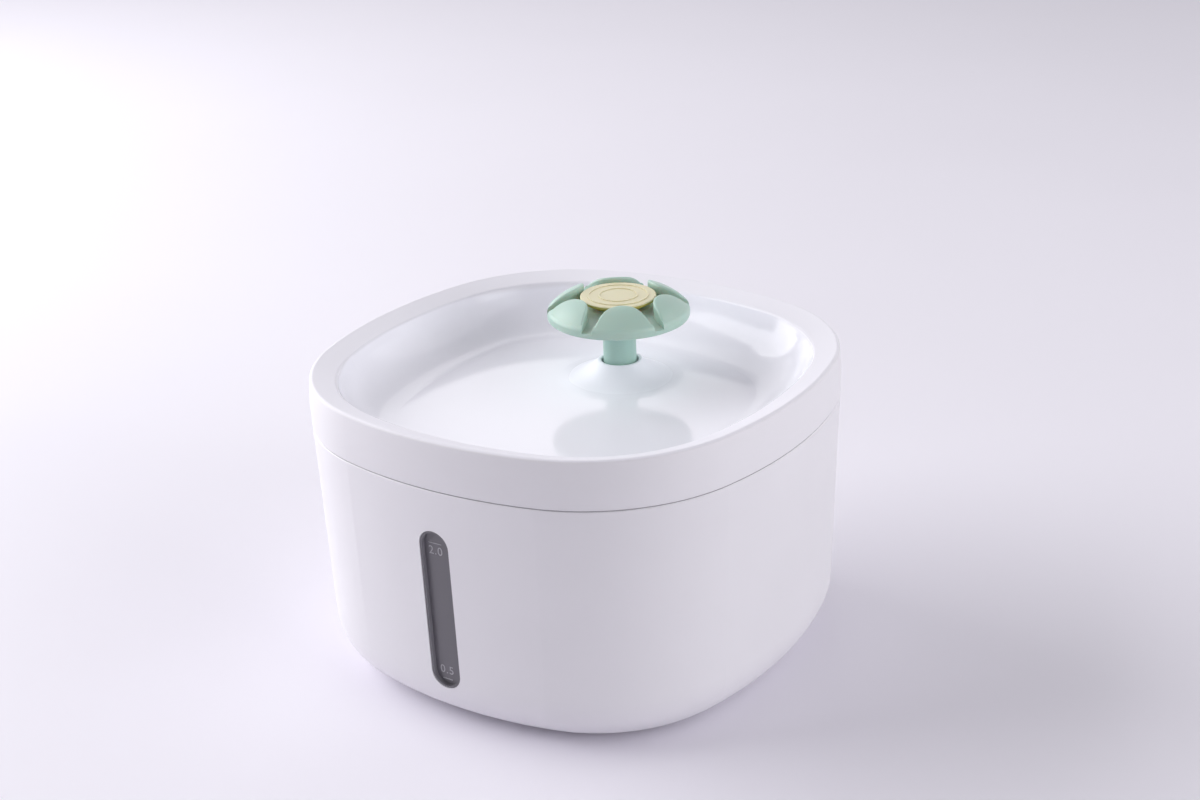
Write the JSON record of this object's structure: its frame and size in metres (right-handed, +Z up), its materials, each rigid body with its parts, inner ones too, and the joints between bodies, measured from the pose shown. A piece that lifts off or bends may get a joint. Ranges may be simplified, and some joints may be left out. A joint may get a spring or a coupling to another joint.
{
  "type": "pet water fountain",
  "caption": "Pet water fountain: a rounded-square tank with a level window, a lift-off drinking tray and filter, and a pump-fed flower nozzle.",
  "frame": {"origin": "centre of the footprint, on the surface the rubber feet stand on", "axes": "+Z up; -Y towards the front, where the level window is; +X to the right seen from the front"},
  "size_m": [0.1892, 0.1892, 0.1331],
  "materials": {
    "shell_white": "satin moulded plastic",
    "tray_white": "polished bowl, satin rim and band",
    "window_smoke": "smoked clear plastic, backed dark",
    "foot_rubber": "matte rubber",
    "seal_rubber": "pale silicone",
    "filter_white": "satin moulded plastic",
    "cotton": "white needled fleece",
    "resin_cloth": "cloth pouch of amber beads",
    "carbon_cloth": "cloth pouch of black granules",
    "petal_green": "satin mint green",
    "centre_yellow": "matte pale yellow",
    "pump_black": "fine textured black",
    "dial_grey": "satin grey",
    "impeller_white": "smooth white",
    "ferrite": "ground ferrite magnet",
    "shaft_ceramic": "ground ceramic",
    "core_steel": "stacked laminations",
    "coil_copper": "enamelled copper winding",
    "potting_black": "cast resin",
    "sponge": "open-cell foam",
    "cage_grey": "satin translucent grey"
  },
  "bodies": {
    "tank": {"water_tank": "shell_white", "rubber_feet": "foot_rubber", "level_window": "window_smoke", "window_gasket": "seal_rubber", "cable_grommet": "foot_rubber"},
    "tray": {"drinking_tray": "tray_white"},
    "filter": {"filter_basket": "filter_white", "filter_frame": "filter_white", "lower_cotton_pad": "cotton", "resin_pouch": "resin_cloth", "carbon_pouch": "carbon_cloth", "upper_cotton_pad": "cotton"},
    "stem": {"flower_stem": "petal_green", "stem_seal": "seal_rubber"},
    "head": {"flower_petals": "petal_green"},
    "centre": {"flower_centre": "centre_yellow"},
    "pump": {"pump_body": "pump_black", "pump_front_cover": "pump_black", "impeller_shaft": "shaft_ceramic", "shaft_bushes": "seal_rubber", "stator_core": "core_steel", "stator_coil": "coil_copper", "potting_resin": "potting_black", "lead_boot": "foot_rubber", "suction_cups": "seal_rubber", "outlet_tube": "filter_white", "pump_base_plate": "cage_grey", "prefilter_sponge": "sponge"},
    "rotor": {"impeller": "impeller_white", "rotor_magnet": "ferrite"},
    "dial": {"flow_dial": "dial_grey"},
    "cage": {"prefilter_cage": "cage_grey"}
  },
  "joints": [
    {"name": "tray_lift", "type": "slide", "parent": "tank", "child": "tray", "axis": [0, 0, 1], "range_m": [0, 0.09]},
    {"name": "flower_lift", "type": "slide", "parent": "tray", "child": "stem", "axis": [0, 0, 1], "range_m": [0, 0.03]},
    {"name": "head_turn", "type": "hinge", "parent": "stem", "child": "head", "pos_m": [0, 0.03, 0.1237], "axis": [0, 0, 1], "continuous": true},
    {"name": "centre_lift", "type": "slide", "parent": "head", "child": "centre", "axis": [0, 0, 1], "range_m": [0, 0.012]},
    {"name": "filter_drop", "type": "slide", "parent": "tray", "child": "filter", "axis": [0, 0, -1], "range_m": [0, 0.015]},
    {"name": "pump_lift", "type": "slide", "parent": "tank", "child": "pump", "axis": [0, 0, 1], "range_m": [0, 0.01]},
    {"name": "cage_lift", "type": "slide", "parent": "pump", "child": "cage", "axis": [0, 0, 1], "range_m": [0, 0.015]},
    {"name": "impeller_spin", "type": "hinge", "parent": "pump", "child": "rotor", "pos_m": [0, 0.0235, 0.0263], "axis": [1, 0, 0], "continuous": true},
    {"name": "dial_turn", "type": "hinge", "parent": "pump", "child": "dial", "pos_m": [-0.0073, 0.0235, 0.0263], "axis": [1, 0, 0], "range_deg": [0, 60]}
  ]
}
